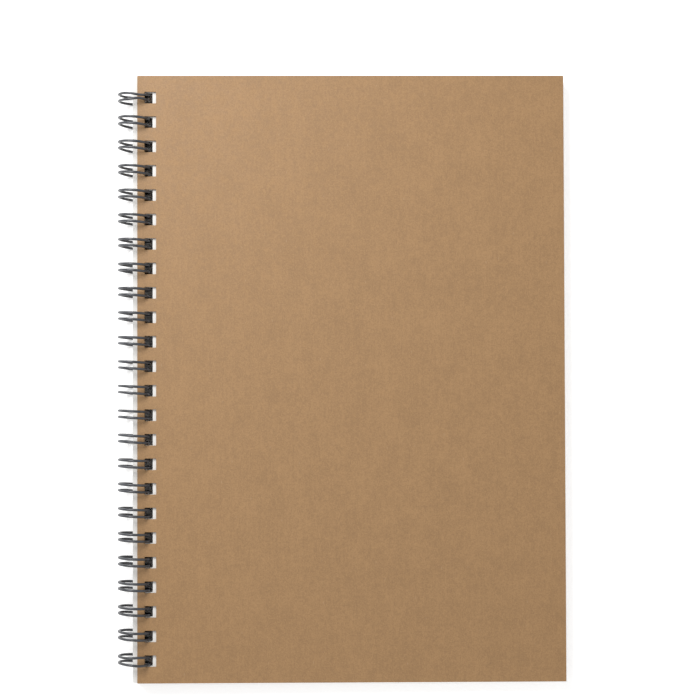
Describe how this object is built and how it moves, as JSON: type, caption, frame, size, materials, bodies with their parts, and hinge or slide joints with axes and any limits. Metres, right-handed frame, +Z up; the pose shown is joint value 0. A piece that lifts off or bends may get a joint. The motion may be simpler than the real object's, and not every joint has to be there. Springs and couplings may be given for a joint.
{
  "type": "sketchbook",
  "caption": "Wire-bound sketchbook with square-cornered kraft board covers and leaves of white drawing paper that turn on a twin-ring wire.",
  "frame": {"origin": "middle of the book's footprint, on the surface it lies on", "axes": "+Z up from the back cover to the front cover, +Y along the spine towards the head, +X from the spine to the fore-edge"},
  "size_m": [0.155, 0.21, 0.0115],
  "materials": {
    "kraft_board": "matte, uncoated brown kraft board",
    "paper": "matte, uncoated white drawing paper",
    "wire": "satin black coating on steel wire"
  },
  "bodies": {
    "back_cover": {"back_cover": "kraft_board"},
    "leaf_24": {"leaf_24": "paper"},
    "leaf_23": {"leaf_23": "paper"},
    "leaf_22": {"leaf_22": "paper"},
    "leaf_21": {"leaf_21": "paper"},
    "leaf_20": {"leaf_20": "paper"},
    "leaf_19": {"leaf_19": "paper"},
    "leaf_18": {"leaf_18": "paper"},
    "leaf_17": {"leaf_17": "paper"},
    "leaf_16": {"leaf_16": "paper"},
    "leaf_15": {"leaf_15": "paper"},
    "leaf_14": {"leaf_14": "paper"},
    "leaf_13": {"leaf_13": "paper"},
    "leaf_12": {"leaf_12": "paper"},
    "leaf_11": {"leaf_11": "paper"},
    "leaf_10": {"leaf_10": "paper"},
    "leaf_09": {"leaf_09": "paper"},
    "leaf_08": {"leaf_08": "paper"},
    "leaf_07": {"leaf_07": "paper"},
    "leaf_06": {"leaf_06": "paper"},
    "leaf_05": {"leaf_05": "paper"},
    "leaf_04": {"leaf_04": "paper"},
    "leaf_03": {"leaf_03": "paper"},
    "leaf_02": {"leaf_02": "paper"},
    "leaf_01": {"leaf_01": "paper"},
    "front_cover": {"front_cover": "kraft_board"},
    "binding_wire": {"binding_wire": "wire"}
  },
  "joints": [
    {"name": "leaf_24_turn", "type": "hinge", "parent": "back_cover", "child": "leaf_24", "pos_m": [-0.07196, 0, 0.00575], "axis": [0, -1, 0], "range_deg": [0, 180]},
    {"name": "leaf_23_turn", "type": "hinge", "parent": "leaf_24", "child": "leaf_23", "pos_m": [-0.07196, 0, 0.00575], "axis": [0, -1, 0], "range_deg": [0, 180]},
    {"name": "leaf_22_turn", "type": "hinge", "parent": "leaf_23", "child": "leaf_22", "pos_m": [-0.07196, 0, 0.00575], "axis": [0, -1, 0], "range_deg": [0, 180]},
    {"name": "leaf_21_turn", "type": "hinge", "parent": "leaf_22", "child": "leaf_21", "pos_m": [-0.07196, 0, 0.00575], "axis": [0, -1, 0], "range_deg": [0, 180]},
    {"name": "leaf_20_turn", "type": "hinge", "parent": "leaf_21", "child": "leaf_20", "pos_m": [-0.07196, 0, 0.00575], "axis": [0, -1, 0], "range_deg": [0, 180]},
    {"name": "leaf_19_turn", "type": "hinge", "parent": "leaf_20", "child": "leaf_19", "pos_m": [-0.07196, 0, 0.00575], "axis": [0, -1, 0], "range_deg": [0, 180]},
    {"name": "leaf_18_turn", "type": "hinge", "parent": "leaf_19", "child": "leaf_18", "pos_m": [-0.07196, 0, 0.00575], "axis": [0, -1, 0], "range_deg": [0, 180]},
    {"name": "leaf_17_turn", "type": "hinge", "parent": "leaf_18", "child": "leaf_17", "pos_m": [-0.07196, 0, 0.00575], "axis": [0, -1, 0], "range_deg": [0, 180]},
    {"name": "leaf_16_turn", "type": "hinge", "parent": "leaf_17", "child": "leaf_16", "pos_m": [-0.07196, 0, 0.00575], "axis": [0, -1, 0], "range_deg": [0, 180]},
    {"name": "leaf_15_turn", "type": "hinge", "parent": "leaf_16", "child": "leaf_15", "pos_m": [-0.07196, 0, 0.00575], "axis": [0, -1, 0], "range_deg": [0, 180]},
    {"name": "leaf_14_turn", "type": "hinge", "parent": "leaf_15", "child": "leaf_14", "pos_m": [-0.07196, 0, 0.00575], "axis": [0, -1, 0], "range_deg": [0, 180]},
    {"name": "leaf_13_turn", "type": "hinge", "parent": "leaf_14", "child": "leaf_13", "pos_m": [-0.07196, 0, 0.00575], "axis": [0, -1, 0], "range_deg": [0, 180]},
    {"name": "leaf_12_turn", "type": "hinge", "parent": "leaf_13", "child": "leaf_12", "pos_m": [-0.07196, 0, 0.00575], "axis": [0, -1, 0], "range_deg": [0, 180]},
    {"name": "leaf_11_turn", "type": "hinge", "parent": "leaf_12", "child": "leaf_11", "pos_m": [-0.07196, 0, 0.00575], "axis": [0, -1, 0], "range_deg": [0, 180]},
    {"name": "leaf_10_turn", "type": "hinge", "parent": "leaf_11", "child": "leaf_10", "pos_m": [-0.07196, 0, 0.00575], "axis": [0, -1, 0], "range_deg": [0, 180]},
    {"name": "leaf_09_turn", "type": "hinge", "parent": "leaf_10", "child": "leaf_09", "pos_m": [-0.07196, 0, 0.00575], "axis": [0, -1, 0], "range_deg": [0, 180]},
    {"name": "leaf_08_turn", "type": "hinge", "parent": "leaf_09", "child": "leaf_08", "pos_m": [-0.07196, 0, 0.00575], "axis": [0, -1, 0], "range_deg": [0, 180]},
    {"name": "leaf_07_turn", "type": "hinge", "parent": "leaf_08", "child": "leaf_07", "pos_m": [-0.07196, 0, 0.00575], "axis": [0, -1, 0], "range_deg": [0, 180]},
    {"name": "leaf_06_turn", "type": "hinge", "parent": "leaf_07", "child": "leaf_06", "pos_m": [-0.07196, 0, 0.00575], "axis": [0, -1, 0], "range_deg": [0, 180]},
    {"name": "leaf_05_turn", "type": "hinge", "parent": "leaf_06", "child": "leaf_05", "pos_m": [-0.07196, 0, 0.00575], "axis": [0, -1, 0], "range_deg": [0, 180]},
    {"name": "leaf_04_turn", "type": "hinge", "parent": "leaf_05", "child": "leaf_04", "pos_m": [-0.07196, 0, 0.00575], "axis": [0, -1, 0], "range_deg": [0, 180]},
    {"name": "leaf_03_turn", "type": "hinge", "parent": "leaf_04", "child": "leaf_03", "pos_m": [-0.07196, 0, 0.00575], "axis": [0, -1, 0], "range_deg": [0, 180]},
    {"name": "leaf_02_turn", "type": "hinge", "parent": "leaf_03", "child": "leaf_02", "pos_m": [-0.07196, 0, 0.00575], "axis": [0, -1, 0], "range_deg": [0, 180]},
    {"name": "leaf_01_turn", "type": "hinge", "parent": "leaf_02", "child": "leaf_01", "pos_m": [-0.07196, 0, 0.00575], "axis": [0, -1, 0], "range_deg": [0, 180]},
    {"name": "front_cover_turn", "type": "hinge", "parent": "leaf_01", "child": "front_cover", "pos_m": [-0.07196, 0, 0.00575], "axis": [0, -1, 0], "range_deg": [0, 180]},
    {"name": "wire_turn", "type": "hinge", "parent": "back_cover", "child": "binding_wire", "pos_m": [-0.07176, 0, 0.00575], "axis": [0, 1, 0], "range_deg": [0, 225]}
  ]
}
